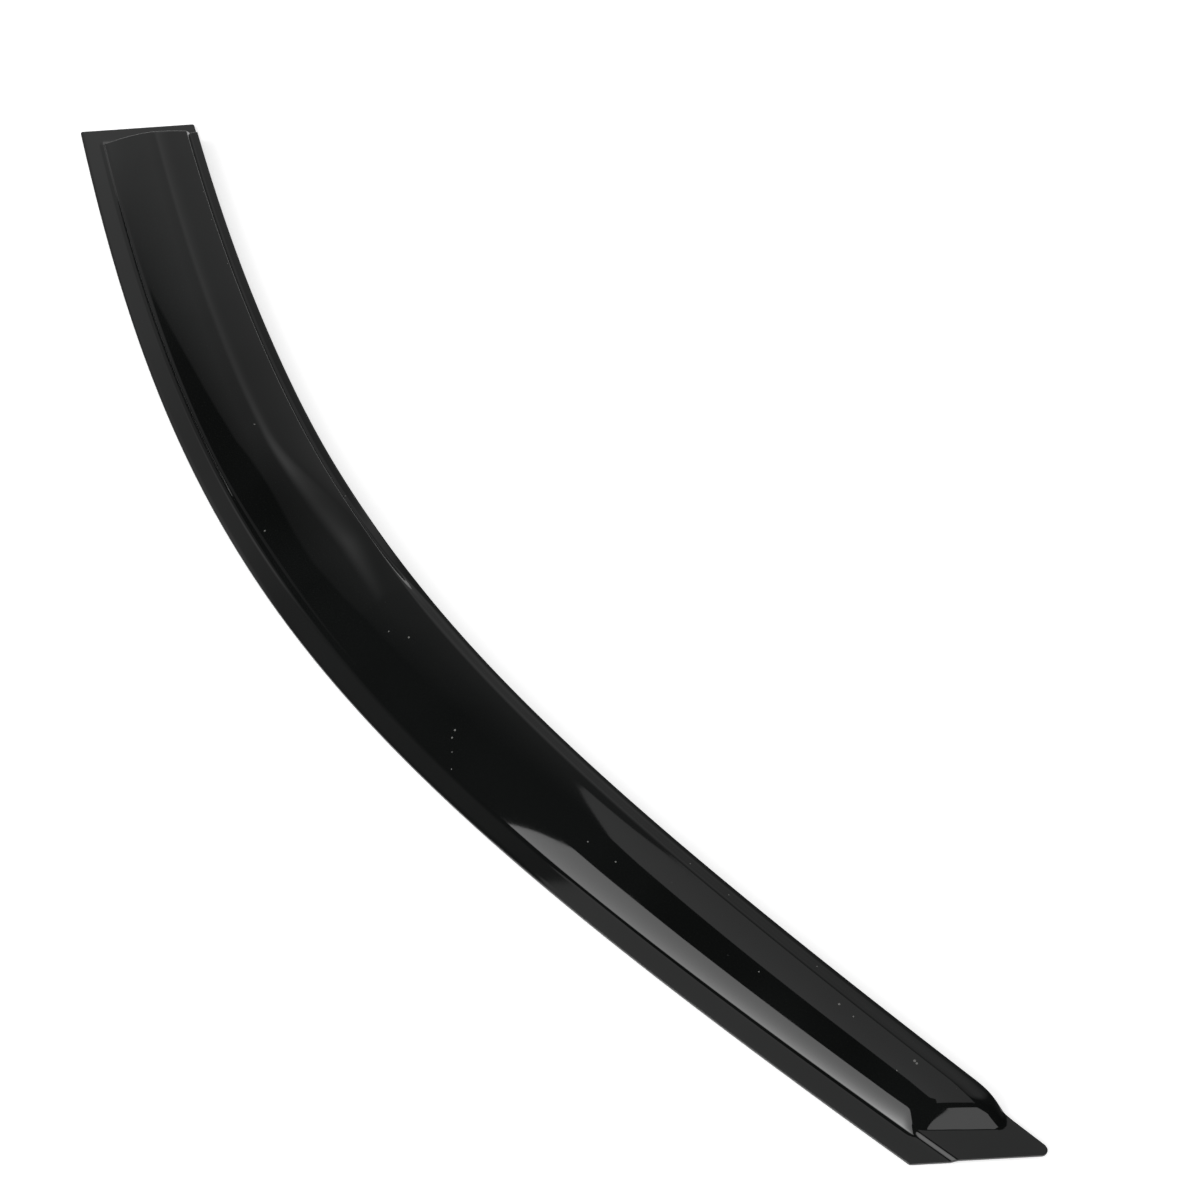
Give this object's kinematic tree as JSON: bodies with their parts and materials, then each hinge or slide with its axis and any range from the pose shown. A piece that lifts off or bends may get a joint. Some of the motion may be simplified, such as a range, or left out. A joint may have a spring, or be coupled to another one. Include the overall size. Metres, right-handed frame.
{
  "type": "window rain deflector",
  "caption": "Bowed, crowned strip of dark acrylic with a flat taped flange, a drip lip and two flat end tabs, to shelter the top of a car side window.",
  "frame": {"origin": "middle of the bounding box's underside, on the surface that the flange tape lies on", "axes": "+X along the chord from the rear end to the pointed front end, +Y from the taped flange to the free edge, +Z out of the flange, away from the car"},
  "size_m": [1.137, 0.1894, 0.0197],
  "materials": {
    "acrylic": "polished dark smoke acrylic",
    "foam_tape": "matt closed-cell acrylic foam"
  },
  "bodies": {
    "root": {"deflector_shell": "acrylic", "tape_long": "foam_tape", "tape_rear_tab": "foam_tape", "tape_front_tab": "foam_tape"}
  },
  "joints": []
}
